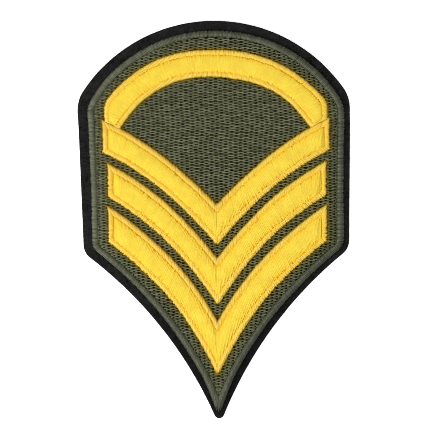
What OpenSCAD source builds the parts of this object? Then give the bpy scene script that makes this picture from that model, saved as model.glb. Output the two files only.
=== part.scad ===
// Embroidered rank patch: a felt shield with a stitched ground, an arch and three chevrons.
// It lies on its back. X runs to the right, Y to the crown and Z up out of the face.

/* [Felt base] */
// Width of the felt across its shoulders
felt_width = 80; // [74:1:90]
// Height of the felt from its crown to its point
felt_height = 116.5; // [110:0.5:126]
// Thickness of the felt
felt_thickness = 1.5; // [1:0.1:3]
// Radius of the round crown
crown_radius = 46.2; // [44:0.2:60]
// How much narrower the felt is at its foot corners than at its shoulders
foot_taper = 2.2; // [0:0.2:6]
// Height of the foot corners above the point
foot_rise = 49; // [44:0.5:54]
// Radius of the bowed edges between the foot corners and the point
flank_radius = 120; // [90:1:300]
// Rounding of the shoulder corners
shoulder_round = 10; // [6:0.5:12]
// Rounding of the foot corners
foot_round = 5; // [4:0.2:8]
// Rounding of the point
point_round = 1.5; // [1:0.2:4]

/* [Stitched ground] */
// Bare felt outside the stitching at the crown
crown_border = 2.9; // [1:0.1:5]
// Bare felt outside the stitching at the sides
side_border = 2.2; // [1:0.1:4]
// Bare felt outside the stitching at the bowed edges
flank_border = 2.1; // [1:0.1:4]
// Rounding of the stitched ground's shoulder corners
ground_shoulder_round = 7.5; // [5:0.5:10]
// Rounding of the stitched ground's foot corners
ground_foot_round = 3.8; // [2.6:0.1:5]
// Rounding of the stitched ground's point
ground_point_round = 0.8; // [0.5:0.1:2]
// How far the stitching sits to the right of the felt's middle
stitching_shift = 0.4; // [-0.8:0.1:0.8]
// How far the stitching is turned on the felt, in degrees anticlockwise
stitching_turn = -0.5; // [-1:0.1:1]
// Width of the satin edging round the ground
satin_width = 2; // [1.4:0.1:3]
// Height of that edging above the felt
satin_height = 1.2; // [0.8:0.1:2]
// Thickness of the stitched ground
ground_thickness = 0.8; // [0.4:0.1:1.5]

/* [Arch] */
// Bare ground between the satin edging and the top of the arch
arch_drop = 3.4; // [2:0.1:6]
// Radius of the arch's outer edge
arch_outer_radius = 42.5; // [41:0.5:48]
// Radius of the arch's inner edge
arch_inner_radius = 33.7; // [32:0.1:36]
// Depth of the arch at its crown
arch_depth = 7.8; // [6:0.1:9]
// Ground left beside the arch
arch_margin = 2.9; // [2:0.1:4]
// Rounding of the arch's shoulders
arch_round = 3; // [2:0.5:4]

/* [Chevrons] */
// Radius of every long chevron edge
chevron_radius = 94; // [80:1:140]
// Height of the lower chevron's point above the felt's point
lower_point_rise = 11.5; // [10:0.5:14]
// Height of the lower chevron's end corners above the felt's point
lower_end_rise = 51.3; // [49:0.2:54]
// Height of the lower chevron at its middle
lower_middle_height = 16.8; // [15:0.1:18]
// Height of the lower chevron at its ends
lower_end_height = 10.7; // [9:0.1:12]
// Height of the gap under the middle chevron, at its middle
lower_gap_middle = 4.2; // [3:0.1:6]
// Height of the gap under the middle chevron, at its ends
lower_gap_end = 3.1; // [2:0.1:4]
// Height of the middle chevron at its middle
middle_middle_height = 13.9; // [12:0.1:15]
// Height of the middle chevron at its ends
middle_end_height = 10.1; // [9:0.1:11]
// Height of the gap under the upper chevron, at its middle
upper_gap_middle = 3.5; // [2.5:0.1:5]
// Height of the gap under the upper chevron, at its ends
upper_gap_end = 3; // [1.5:0.1:4]
// Height of the upper chevron at its middle
upper_middle_height = 12.1; // [11:0.1:14]
// Height of the upper chevron at its ends
upper_end_height = 9.3; // [8.6:0.1:11]
// Ground left beside the lower and middle chevrons
chevron_margin = 2.9; // [2:0.1:5]
// Ground left beside the upper chevron
upper_margin = 2.3; // [1.5:0.1:4]
// Rounding in the upper chevron's notch
upper_notch_round = 2; // [0.4:0.2:3]
// Rounding in the middle chevron's notch
middle_notch_round = 1.2; // [0.4:0.2:3]
// Rounding in the lower chevron's notch
lower_notch_round = 0.6; // [0.4:0.2:3]
// Rounding of the upper chevron's point
upper_tip_round = 2; // [0.4:0.2:3]
// Rounding of the middle chevron's point
middle_tip_round = 1.2; // [0.4:0.2:3]
// Rounding of the lower chevron's point
lower_tip_round = 1.4; // [0.4:0.2:3]

/* [Gold stitching] */
// Width of the gold edging
edging_width = 1.4; // [1:0.1:1.6]
// Height of the gold edging above the ground
edging_height = 0.75; // [0.4:0.05:1.2]
// Height of the padded gold fill above the ground
fill_height = 1; // [0.5:0.05:2]
// Width of the rounded shoulder of the padded fill
fill_shoulder = 1.9; // [1:0.1:2.2]

/* [Clearances] */
// Gap between one layer and the next
layer_gap = 0.05; // [0.02:0.01:0.2]
// Gap between pieces that lie side by side
seam_gap = 0.08; // [0.04:0.01:0.3]

/* [Hidden] */
black = [0.12, 0.12, 0.13];
olive = [0.35, 0.36, 0.26];
olive_satin = [0.43, 0.44, 0.35];
gold = [0.98, 0.85, 0.27];
gold_satin = [0.98, 0.82, 0.33];
// Steps along each crown, bowed edge, corner and foot of the arch
crown_steps = 12;
edge_steps = 9;
corner_steps = 4;
foot_steps = 2;
// The least rounding that a corner keeps as an outline steps inwards
least_round = 0.2;
// Points nearer to the axis than this lie on it
on_axis = 1e-6;
// Layers, from the felt upwards
ground_z = felt_thickness + layer_gap;
gold_z = ground_z + ground_thickness + layer_gap;
// Section across an edging, as shares of its width and height
edging_section = [[0, 0], [0, 0.5], [0.2, 0.87], [0.5, 1], [0.8, 0.87], [1, 0.5], [1, 0]];
// Section up the shoulder of a padded fill, as shares of its shoulder and height
fill_section = [[0, 0], [0, 0.45], [0.25, 0.75], [0.6, 0.93], [1, 1]];

// Geometry helpers
// Points of an arc about centre, from one angle to another
function arc(centre, radius, from, to, steps) =
    [for (i = [0:steps]) let (a = from + (to - from) * i / steps)
        centre + radius * [cos(a), sin(a)]];
// The same points but the first, to carry on a line that ends there
function arc_on(centre, radius, from, to, steps) =
    [for (i = [1:steps]) let (a = from + (to - from) * i / steps)
        centre + radius * [cos(a), sin(a)]];
function angle_to(centre, point) = atan2(point.y - centre.y, point.x - centre.x);
// Where two circles meet: turn is 1 for the crossing on the left of a line from a to b, else -1
function circles_meet(a, ra, b, rb, turn) =
    let (d = norm(b - a), along = (d * d + ra * ra - rb * rb) / (2 * d),
         off = sqrt(ra * ra - along * along), u = (b - a) / d)
    a + along * u + turn * off * [-u.y, u.x];
// The upper crossing of a circle and a line through point along the unit vector run
function line_meets_circle(point, run, centre, radius) =
    let (w = point - centre, b = w * run, c = w * w - radius * radius,
         s1 = -b + sqrt(b * b - c), s2 = -b - sqrt(b * b - c), up = run.y > 0 ? s1 : s2)
    point + up * run;
// Height of a circle's top side at x
function top_of_circle(centre, radius, x) = centre.y + sqrt(pow(radius, 2) - pow(x - centre.x, 2));
// Centre of a circle of given radius through two points, below them both
function centre_below(p, q, radius) = circles_meet(p, radius, q, radius, -1);
function reversed(points) = [for (i = [len(points) - 1:-1:0]) points[i]];
// A right half, given from the top round to the bottom, closed by its mirror image
function mirrored(half) =
    concat(half, [for (p = reversed(half)) if (abs(p.x) > on_axis) [-p.x, p.y]]);
// An outline of stitching, where it lies on the felt
function stitched(points) =
    [for (p = points) [stitching_shift + p.x * cos(stitching_turn) - p.y * sin(stitching_turn),
                       p.x * sin(stitching_turn) + p.y * cos(stitching_turn)]];

// Shield outline
point_y = -felt_height / 2;
crown_centre = [0, felt_height / 2 - crown_radius];
shoulder = [felt_width / 2, top_of_circle(crown_centre, crown_radius, felt_width / 2)];
foot = [(felt_width - foot_taper) / 2, point_y + foot_rise];
side_run = (shoulder - foot) / norm(shoulder - foot);
side_out = [side_run.y, -side_run.x];
flank_centre = circles_meet([0, point_y + point_round], flank_radius + point_round,
                            foot, flank_radius, -1);
// The shield, stepped in from the felt's edge by insets = [crown, side, flank] and its corners
// rounded by rounds = [shoulder, foot, point]
function shield(insets, rounds) =
    let (r = [for (v = rounds) max(v, least_round)],
         crown_r = crown_radius - insets[0], flank_r = flank_radius + insets[2],
         p1 = line_meets_circle(foot - (insets[1] + r[0]) * side_out, side_run,
                                crown_centre, crown_r - r[0]),
         p2 = line_meets_circle(foot - (insets[1] + r[1]) * side_out, side_run,
                                flank_centre, flank_r + r[1]),
         p3 = [0, top_of_circle(flank_centre, flank_r + r[2], 0)],
         side = angle_to([0, 0], side_out))
    concat(
        arc(crown_centre, crown_r, 90, angle_to(crown_centre, p1), crown_steps),
        arc_on(p1, r[0], angle_to(crown_centre, p1), side, corner_steps),
        arc(p2, r[1], side, angle_to(p2, flank_centre), corner_steps),
        arc_on(flank_centre, flank_r, angle_to(flank_centre, p2), angle_to(flank_centre, p3),
               edge_steps),
        arc_on(p3, r[2], angle_to(p3, flank_centre), -90, corner_steps));
function felt_outline() =
    mirrored(shield([0, 0, 0], [shoulder_round, foot_round, point_round]));
borders = [crown_border, side_border, flank_border];
ground_rounds = [ground_shoulder_round, ground_foot_round, ground_point_round];
function ground_outline(step) =
    stitched(mirrored(shield([for (b = borders) b + step], [for (v = ground_rounds) v - step])));
// Half width of the ground inside its edging, at height y
function ground_half_width(y) =
    foot.x + (y - foot.y) * side_run.x / side_run.y - (side_border + satin_width) / side_run.y;

// Chevron outlines
// Heights of each long edge above the felt's point, as [at its middle, at its ends]
lower_low = [lower_point_rise, lower_end_rise];
lower_top = lower_low + [lower_middle_height, lower_end_height];
middle_low = lower_top + [lower_gap_middle, lower_gap_end];
middle_top = middle_low + [middle_middle_height, middle_end_height];
upper_low = middle_top + [upper_gap_middle, upper_gap_end];
upper_top = upper_low + [upper_middle_height, upper_end_height];
// A chevron = [half width, top edge, lower edge, rounding of its notch, rounding of its point]
function chevron(low, top, margin, notch, tip) =
    [ground_half_width(point_y + (low[1] + top[1]) / 2) - margin, top, low, notch, tip];
lower_chevron = chevron(lower_low, lower_top, chevron_margin, lower_notch_round, lower_tip_round);
middle_chevron = chevron(middle_low, middle_top, chevron_margin, middle_notch_round,
                         middle_tip_round);
upper_chevron = chevron(upper_low, upper_top, upper_margin, upper_notch_round, upper_tip_round);
// Centre of the circle that a chevron's right-hand edge follows
function edge_centre(half_width, rises) =
    centre_below([0, point_y + rises[0]], [half_width, point_y + rises[1]], chevron_radius);
// One right-hand edge of a chevron from its end to its middle: sign is 1 for the top edge and -1
// for the lower one, and the rounding at the middle grows or shrinks with the step
function chevron_edge(half_width, rises, step, sign, rounding) =
    let (c = edge_centre(half_width, rises), r = chevron_radius - sign * step,
         bend = max(rounding + sign * step, least_round), x = half_width - step,
         end = [x, top_of_circle(c, r, x)], p = [0, top_of_circle(c, r + bend, 0)])
    concat(arc(c, r, angle_to(c, end), angle_to(c, p), edge_steps),
           arc_on(p, bend, angle_to(p, c), -90, corner_steps));
// A chevron's outline, stepped in from its edge
function chevron_outline(row, step) =
    stitched(mirrored(concat(reversed(chevron_edge(row[0], row[1], step, 1, row[3])),
                             chevron_edge(row[0], row[2], step, -1, row[4]))));

// Arch outline
arch_top = felt_height / 2 - crown_border - satin_width - arch_drop;
arch_outer_centre = [0, arch_top - arch_outer_radius];
arch_inner_centre = [0, arch_top - arch_depth - arch_inner_radius];
arch_half_width = ground_half_width(shoulder.y) - arch_margin;
arch_foot_centre = edge_centre(upper_chevron[0], upper_chevron[1]);
// The arch stands on the upper chevron's top edge
function arch_outline(step) =
    let (x = arch_half_width - step, r = max(arch_round - step, least_round),
         outer_r = arch_outer_radius - step, inner_r = arch_inner_radius + step,
         foot_r = chevron_radius + seam_gap + step,
         p = [x - r, top_of_circle(arch_outer_centre, outer_r - r, x - r)],
         toe = [x, top_of_circle(arch_foot_centre, foot_r, x)],
         heel = circles_meet(arch_inner_centre, inner_r, arch_foot_centre, foot_r, 1))
    stitched(mirrored(concat(
        arc(arch_outer_centre, outer_r, 90, angle_to(arch_outer_centre, p), crown_steps),
        arc_on(p, r, angle_to(arch_outer_centre, p), 0, corner_steps),
        arc(arch_foot_centre, foot_r, angle_to(arch_foot_centre, toe),
            angle_to(arch_foot_centre, heel), foot_steps),
        arc_on(arch_inner_centre, inner_r, angle_to(arch_inner_centre, heel), 90,
               crown_steps))));

// Solids from rings of points: each ring is an outline at its own height, and all have one length
function raised(outline, z) = [for (p = outline) [p.x, p.y, z]];
// Faces between neighbouring rings
function ring_faces(count, n, closed) =
    [for (k = [0:count - (closed ? 1 : 2)], i = [0:n - 1])
        let (a = k * n, b = ((k + 1) % count) * n, j = (i + 1) % n)
        [a + i, a + j, b + j, b + i]];
// Faces across a stripe, whose outer and inner edges have as many points each: point i faces
// point n / 2 - i
function across_faces(n) =
    [for (k = [0:n / 2 - 2]) let (i = k - (n - 2) / 4)
        [for (p = [i, i + 1, n / 2 - i - 1, n / 2 - i]) (p + n) % n]];
// A pad: a stripe that is solid between its lowest ring and its highest
module pad(rings) {
    n = len(rings[0]);
    last = (len(rings) - 1) * n;
    polyhedron([for (ring = rings) each ring],
               concat(ring_faces(len(rings), n, false),
                      [for (f = across_faces(n)) reversed(f)],
                      [for (f = across_faces(n)) [for (p = f) p + last]]),
               convexity = 6);
}
// A rim: a solid band that runs round an outline and is open inside it
module rim(rings) {
    polyhedron([for (ring = rings) each ring], ring_faces(len(rings), len(rings[0]), true),
               convexity = 6);
}

module felt_backing() {
    color(black)
    linear_extrude(felt_thickness)
    polygon(felt_outline());
}

module ground_fill() {
    color(olive)
    translate([0, 0, ground_z])
    linear_extrude(ground_thickness)
    polygon(ground_outline(satin_width + seam_gap));
}

module ground_edging() {
    color(olive_satin)
    rim([for (s = edging_section)
        raised(ground_outline(s[0] * satin_width), ground_z + s[1] * satin_height)]);
}

module gold_fill(outlines) {
    color(gold)
    pad([for (i = [0:len(fill_section) - 1])
        raised(outlines[i], gold_z + fill_section[i][1] * fill_height)]);
}

module gold_edging(outlines) {
    color(gold_satin)
    rim([for (i = [0:len(edging_section) - 1])
        raised(outlines[i], gold_z + edging_section[i][1] * edging_height)]);
}

// Steps inwards from a stripe's edge to each ring of its fill and of its edging
fill_steps = [for (s = fill_section) edging_width + seam_gap + s[0] * fill_shoulder];
edging_steps = [for (s = edging_section) s[0] * edging_width];

module arch_fill() {
    gold_fill([for (step = fill_steps) arch_outline(step)]);
}

module arch_edging() {
    gold_edging([for (step = edging_steps) arch_outline(step)]);
}

module chevron_fill(row) {
    gold_fill([for (step = fill_steps) chevron_outline(row, step)]);
}

module chevron_edging(row) {
    gold_edging([for (step = edging_steps) chevron_outline(row, step)]);
}

module chevron_upper_fill() {
    chevron_fill(upper_chevron);
}

module chevron_upper_edging() {
    chevron_edging(upper_chevron);
}

module chevron_middle_fill() {
    chevron_fill(middle_chevron);
}

module chevron_middle_edging() {
    chevron_edging(middle_chevron);
}

module chevron_lower_fill() {
    chevron_fill(lower_chevron);
}

module chevron_lower_edging() {
    chevron_edging(lower_chevron);
}

felt_backing();
ground_fill();
ground_edging();
arch_fill();
arch_edging();
chevron_upper_fill();
chevron_upper_edging();
chevron_middle_fill();
chevron_middle_edging();
chevron_lower_fill();
chevron_lower_edging();
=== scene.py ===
import math
from functools import partial
import bpy
import numpy as np
from mathutils.kdtree import KDTree
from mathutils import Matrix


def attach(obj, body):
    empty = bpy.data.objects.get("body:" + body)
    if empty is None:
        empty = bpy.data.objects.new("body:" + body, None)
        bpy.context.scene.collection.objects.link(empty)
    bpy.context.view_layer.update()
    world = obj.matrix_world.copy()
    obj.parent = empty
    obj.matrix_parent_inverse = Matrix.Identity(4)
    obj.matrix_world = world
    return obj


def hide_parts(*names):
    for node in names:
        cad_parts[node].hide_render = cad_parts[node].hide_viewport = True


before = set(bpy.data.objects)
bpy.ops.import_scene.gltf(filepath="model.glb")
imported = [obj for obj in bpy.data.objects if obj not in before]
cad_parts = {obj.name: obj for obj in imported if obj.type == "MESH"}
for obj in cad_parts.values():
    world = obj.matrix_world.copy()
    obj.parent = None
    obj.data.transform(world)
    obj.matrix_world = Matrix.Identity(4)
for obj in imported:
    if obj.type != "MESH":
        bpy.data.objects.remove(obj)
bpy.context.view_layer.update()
mm = 0.001  # sizes below are in millimetres and degrees
print("patch: frame loaded")

# Camera, straight above the patch
cameraView = {
    "aim": (-0.2, 1.24),  # the place on the patch in the middle of the picture
    "height": 1200,
    "across": 126.5,  # how much of the patch the picture's width takes in
    "roll": -0.98,
    "sensor": 36,
}


def addCamera(view):
    lens = bpy.data.cameras.new("camera")
    lens.sensor_width = view["sensor"]
    lens.lens = view["sensor"] * view["height"] / view["across"]
    camera = bpy.data.objects.new("camera", lens)
    camera.location = (view["aim"][0] * mm, view["aim"][1] * mm, view["height"] * mm)
    camera.rotation_euler = (0, 0, math.radians(view["roll"]))
    bpy.context.collection.objects.link(camera)
    bpy.context.scene.camera = camera


addCamera(cameraView)

# Outlines. Those of the stitching are worked out upright about x = 0, and then turned onto the
# felt. What wanders along an edge is a list of stops, each a place or heading and the amount there
feltCut = {
    "width": 80, "height": 116.5, "thickness": 1.5,
    "crownRadius": 46.2, "flankRadius": 120, "footTaper": 2.2, "footRise": 49,
    "rounds": (10, 5, 1.5),  # shoulder, foot corner and point
    "crownLean": 0.3, "spread": 0.09, "shift": 0.05,
}
groundCut = {
    "borders": (2.9, 2.2, 2.1),  # bare felt at the crown, the sides and the bowed edges
    "rounds": (7.5, 3.8, 0.8),
    "satinWidth": 2.05,
    "crownLean": 0.5,
    # how far it bulges, by heading, and how much of that is lost by the satin's inner side
    "sway": [(-180, -0.08), (-165, 0.02), (-120, 0.02), (-114, 0.1), (-102, 0.3), (-95, 0.5),
             (-93, 1.1), (-91.4, 2.0), (-90, 2.4), (-88.6, 2.0), (-87, 1.1), (-85, 0.45),
             (-78, 0.2), (-66, 0.12), (-54, 0.14), (-42, 0.28), (-18, 0.3), (-6, 0.45), (6, 0.18),
             (18, 0.03), (30, -0.07), (42, 0.08), (54, 0.44), (66, 0.38), (78, 0.19), (90, 0.1),
             (102, 0.25), (114, 0.1), (126, 0.1), (138, 0), (150, -0.05), (162, -0.25),
             (174, -0.2), (180, -0.08)],
    "swayLoss": 0.6,
}
archCut = {
    "drop": 3.4, "outerRadius": 42.5, "innerRadius": 33.7, "depth": 7.9,
    "margin": 2.9, "round": 6, "seam": 0.1, "footShare": 0.34,
    "crownLean": 0.7, "innerLean": 0.35,
    "run": 54,  # the length of half the arch
    # how far each edge lies outside its circle, by the place across the patch
    "outerSway": [(-33, -0.35), (-29, -0.15), (-23, 0.1), (-16, 0.38), (-8, 0.1), (0, -0.22), (8, 0),
                  (17, 0.22), (25, 0.2), (31, 0.05), (33, 0.25)],
    "innerSway": [(-27, -0.2), (-22, 0.2), (-11, 0.37), (-3, 0), (6, -0.3), (17, 0.3), (22, 0.25),
                  (26, -0.2)],
}
chevronCut = {
    "radius": 94, "pointRise": 11.5, "endRise": 51.3, "endShare": 0.85,
    # height and gap below, each at the middle and the ends, ground left beside it, rounding of
    # its notch and of its point, how far its left and right ends are drawn out, its turn, and
    # how far its top and lower edges lie above their curves, by the place across the patch
    "lower": {
        "height": (16.8, 10.7), "gap": (0, 0), "margin": 2.9, "notch": 0.4, "tip": 0.4,
        "drawn": (0.0, 0.1), "turn": -0.4,
        "topSway": [(-28, 0), (-20, -0.17), (-12, 0), (-3, -0.03), (0, -0.2), (3, 0), (14, 0.05),
                    (24, 0.16), (31, 0.5)],
        "lowSway": [(-30, 0.2), (-21, 0.08), (-15, 0.46), (-6, 0.4), (0, 0.75), (4, 0.1), (10, 0.2),
                    (16, 0.3), (22, 0.18), (31, 0.5)],
    },
    "middle": {
        "height": (13.8, 9.9), "gap": (4.3, 3.3), "margin": 2.9, "notch": 0.8, "tip": 0.4,
        "drawn": (-0.4, -0.15), "turn": 0,
        "topSway": [(-30, -0.33), (-24, -0.1), (-16, 0.04), (-8, -0.16), (-3, 0), (1.5, 0.28), (5, 0),
                    (9, -0.13), (17, 0.11), (28, -0.12)],
        "lowSway": [(-30, -0.23), (-24, 0), (-15, 0.28), (-4, 0.13), (0, 0.4), (4, 0), (14, 0.22),
                    (22, 0.03), (31, -0.22)],
    },
    "upper": {
        "height": (12.1, 9.3), "gap": (3.5, 3), "margin": 2.3, "notch": 0.8, "tip": 0.5,
        "drawn": (0.15, -0.06), "turn": 0,
        "topSway": [(-28, 0.1), (-18, -0.2), (-8, -0.32), (-3, 0), (1, 0.45), (4, 0.15), (11, -0.2),
                    (20, 0.07), (28, 0.2)],
        "lowSway": [(-32, 0), (-28, 0.2), (-12, 0.03), (-7, 0.02), (-3, 0.35), (0, 0.6), (3, 0.45),
                    (8, 0.13), (16, 0.2), (28, 0.26), (32, 0.1)],
    },
    "drawnFrom": 18, "drawnOver": 14,  # the drawing out of an end grows from here, over this much
    # the threads drawn out at the top corners, and how much of that the right-hand ones show
    "spike": {"out": 0.4, "up": 0.15, "reach": 0.9, "rightShare": 0.15},
}
stitchPlace = {"shift": 0.4, "turn": -0.5}  # how the stitching lies on the felt
leanFrom, leanOver = 27, 15  # the crown's lean grows from this height, over this much
edgeSteps, cornerSteps, leastRound = 60, 8, 0.2


def readOff(stops, at):
    # the amount at a place, from the stops on both sides of it
    return np.interp(at, *zip(*stops))


def arc(centre, radius, start, end, steps, first=0):
    turn = start + (end - start) * np.arange(first, steps + 1) / steps
    return np.asarray(centre) + radius * np.column_stack([np.cos(turn), np.sin(turn)])


def angleTo(centre, point):
    return math.atan2(point[1] - centre[1], point[0] - centre[0])


def circlesMeet(a, radiusA, b, radiusB, side):
    a, b = np.asarray(a, float), np.asarray(b, float)
    apart = np.linalg.norm(b - a)
    along = (apart**2 + radiusA**2 - radiusB**2) / (2 * apart)
    off = math.sqrt(radiusA**2 - along**2)
    run = (b - a) / apart
    return a + along * run + side * off * np.array([-run[1], run[0]])


def lineMeetsCircle(point, run, centre, radius):
    away = point - centre
    b = away @ run
    root = math.sqrt(b * b - away @ away + radius * radius)
    return point + (root - b if run[1] > 0 else -root - b) * run


def topOfCircle(centre, radius, x):
    return centre[1] + math.sqrt(radius**2 - (x - centre[0]) ** 2)


def mirrored(half):
    # from the top round the right side to the bottom, then back up the left side
    return np.vstack([half, half[-2:0:-1] * [-1, 1]])


def leaned(points, amount):
    share = np.clip((points[:, 1] - leanFrom) / leanOver, 0, 1)
    return points - np.column_stack([amount * share, np.zeros(len(points))])


def lengthAlong(line):
    return np.concatenate([[0], np.cumsum(np.linalg.norm(np.diff(line, axis=0), axis=1))])


def pointsAt(line, length, at):
    return np.column_stack([np.interp(at, length, line[:, k]) for k in range(2)])


def thickened(outline, gap=0.12):
    # the same closed line with points no further apart than the gap
    line = np.vstack([outline, outline[:1]])
    length = lengthAlong(line)
    return pointsAt(line, length, np.arange(0, length[-1], gap))


pointY = -feltCut["height"] / 2
crownCentre = np.array([0, feltCut["height"] / 2 - feltCut["crownRadius"]])
shoulder = np.array([feltCut["width"] / 2,
                     topOfCircle(crownCentre, feltCut["crownRadius"], feltCut["width"] / 2)])
foot = np.array([(feltCut["width"] - feltCut["footTaper"]) / 2, pointY + feltCut["footRise"]])
sideRun = (shoulder - foot) / np.linalg.norm(shoulder - foot)
sideOut = np.array([sideRun[1], -sideRun[0]])
flankCentre = circlesMeet((0, pointY + feltCut["rounds"][2]),
                          feltCut["flankRadius"] + feltCut["rounds"][2],
                          foot, feltCut["flankRadius"], -1)


def shield(insets, rounds):
    rounds = [max(r, leastRound) for r in rounds]
    crown = feltCut["crownRadius"] - insets[0]
    flank = feltCut["flankRadius"] + insets[2]
    p1 = lineMeetsCircle(foot - (insets[1] + rounds[0]) * sideOut, sideRun,
                         crownCentre, crown - rounds[0])
    p2 = lineMeetsCircle(foot - (insets[1] + rounds[1]) * sideOut, sideRun,
                         flankCentre, flank + rounds[1])
    p3 = np.array([0, topOfCircle(flankCentre, flank + rounds[2], 0)])
    side = angleTo((0, 0), sideOut)
    corner1, corner2 = p1 + rounds[0] * sideOut, p2 + rounds[1] * sideOut
    sideSteps = edgeSteps // 2
    straight = corner1 + (corner2 - corner1) * (np.arange(1, sideSteps) / sideSteps)[:, None]
    half = np.vstack([
        arc(crownCentre, crown, math.pi / 2, angleTo(crownCentre, p1), edgeSteps),
        arc(p1, rounds[0], angleTo(crownCentre, p1), side, cornerSteps, 1),
        straight,
        arc(p2, rounds[1], side, angleTo(p2, flankCentre), cornerSteps),
        arc(flankCentre, flank, angleTo(flankCentre, p2), angleTo(flankCentre, p3), edgeSteps, 1),
        arc(p3, rounds[2], angleTo(p3, flankCentre), -math.pi / 2, cornerSteps, 1),
    ])
    return mirrored(half)


def feltOutline():
    outline = leaned(shield([-feltCut["spread"]] * 3, feltCut["rounds"]), feltCut["crownLean"])
    return outline + [feltCut["shift"], 0]


def groundOutline(step):
    insets = [border + step for border in groundCut["borders"]]
    rounds = [r - step for r in groundCut["rounds"]]
    outline = leaned(shield(insets, rounds), groundCut["crownLean"])
    turn = np.arctan2(outline[:, 1], outline[:, 0])
    kept = 1 - groundCut["swayLoss"] * step / groundCut["satinWidth"]
    sway = readOff(groundCut["sway"], np.degrees(turn)) * kept
    return outline + sway[:, None] * np.column_stack([np.cos(turn), np.sin(turn)])


def groundHalfWidth(y):
    slope = sideRun[0] / sideRun[1]
    inset = (groundCut["borders"][1] + groundCut["satinWidth"]) / sideRun[1]
    return foot[0] + (y - foot[1]) * slope - inset


def chevronRows():
    rows = {}
    below = np.array([chevronCut["pointRise"], chevronCut["endRise"]])
    for name in ("lower", "middle", "upper"):
        cut = chevronCut[name]
        low = below + cut["gap"]
        top = low + cut["height"]
        halfWidth = groundHalfWidth(pointY + (low[1] + top[1]) / 2) - cut["margin"]
        rows[name] = {**cut, "halfWidth": halfWidth, "low": low, "top": top}
        below = top
    return rows


chevrons = chevronRows()


def edgeCentre(halfWidth, rises):
    radius = chevronCut["radius"]
    return circlesMeet((0, pointY + rises[0]), radius, (halfWidth, pointY + rises[1]), radius, -1)


def chevronEdge(halfWidth, rises, step, sign, rounding):
    # one right-hand edge from its end to its middle; sign is 1 for the top edge, -1 for the lower
    centre = edgeCentre(halfWidth, rises)
    radius = chevronCut["radius"] - sign * step
    bend = max(rounding + min(sign, 0) * step, leastRound)
    x = halfWidth - step * chevronCut["endShare"]
    end = (x, topOfCircle(centre, radius, x))
    middle = np.array([0, topOfCircle(centre, radius + bend, 0)])
    return np.vstack([
        arc(centre, radius, angleTo(centre, end), angleTo(centre, middle), edgeSteps),
        arc(middle, bend, angleTo(middle, centre), -math.pi / 2, cornerSteps, 1),
    ])


def chevronEdges(name, step):
    # the top and the lower right-hand edge, each from the middle to the end
    row = chevrons[name]
    top = chevronEdge(row["halfWidth"], row["top"], step, 1, row["notch"])[::-1]
    low = chevronEdge(row["halfWidth"], row["low"], step, -1, row["tip"])[::-1]
    return top, low


def trued(name, points):
    # the small unevenness of a real chevron: its turn, its ends and its spiked top corners
    row, spike = chevrons[name], chevronCut["spike"]
    x, y = points.T
    top, low = [np.interp(np.abs(x), *edge.T) for edge in chevronEdges(name, 0)]
    share = np.clip((y - low) / (top - low), 0, 1)
    y = y + share * readOff(row["topSway"], x) + (1 - share) * readOff(row["lowSway"], x)
    side = np.sign(x)
    drawn = np.where(side < 0, row["drawn"][0], row["drawn"][1])
    grown = np.clip((np.abs(x) - chevronCut["drawnFrom"]) / chevronCut["drawnOver"], 0, 1)
    x = x + side * drawn * grown
    away = np.hypot(np.abs(x) - row["halfWidth"], y - pointY - row["top"][1])
    pull = np.exp(-((away / spike["reach"]) ** 2)) * np.where(side < 0, 1, spike["rightShare"])
    x = x + side * pull * spike["out"]
    y = y + pull * spike["up"]
    turn, middle = math.radians(row["turn"]), pointY + (row["low"][1] + row["top"][0]) / 2
    return np.column_stack([x - (y - middle) * turn, y + x * turn])


def chevronOutline(name, step):
    top, low = chevronEdges(name, step)
    endSteps = edgeSteps // 3
    share = (np.arange(1, endSteps) / endSteps)[:, None]
    end = top[-1] + (low[-1] - top[-1]) * share
    return trued(name, mirrored(np.vstack([top, end, low[::-1]])))


archTop = feltCut["height"] / 2 - groundCut["borders"][0] - groundCut["satinWidth"] - archCut["drop"]
archHalfWidth = groundHalfWidth(shoulder[1]) - archCut["margin"]


def archEdges(step):
    # the outer edge with the side, and the inner edge, each from the crown down to the foot, and
    # between them the foot from toe to heel
    upper = chevrons["upper"]
    footCentre = edgeCentre(upper["halfWidth"], upper["top"])
    footRadius = chevronCut["radius"] + archCut["seam"] + step * archCut["footShare"]
    outer = archCut["outerRadius"] - step
    inner = archCut["innerRadius"] + step
    outerCentre = np.array([0, archTop - archCut["outerRadius"]])
    innerCentre = np.array([0, archTop - archCut["depth"] - archCut["innerRadius"]])
    x, bend = archHalfWidth - step, max(archCut["round"] - step, leastRound)
    p = np.array([x - bend, topOfCircle(outerCentre, outer - bend, x - bend)])
    toe = np.array([x, topOfCircle(footCentre, footRadius, x)])
    heel = circlesMeet(innerCentre, inner, footCentre, footRadius, 1)
    sideSteps = edgeSteps // 6
    side = np.column_stack([np.full(sideSteps, x),
                            p[1] + (toe[1] - p[1]) * np.arange(1, sideSteps + 1) / sideSteps])
    outerEdge = np.vstack([
        arc(outerCentre, outer, math.pi / 2, angleTo(outerCentre, p), edgeSteps),
        arc(p, bend, angleTo(outerCentre, p), 0, cornerSteps, 1),
        side,
    ])
    footEdge = arc(footCentre, footRadius, angleTo(footCentre, toe), angleTo(footCentre, heel),
                   sideSteps)
    innerEdge = arc(innerCentre, inner, math.pi / 2, angleTo(innerCentre, heel), edgeSteps)
    return outerEdge, footEdge, innerEdge


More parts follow.
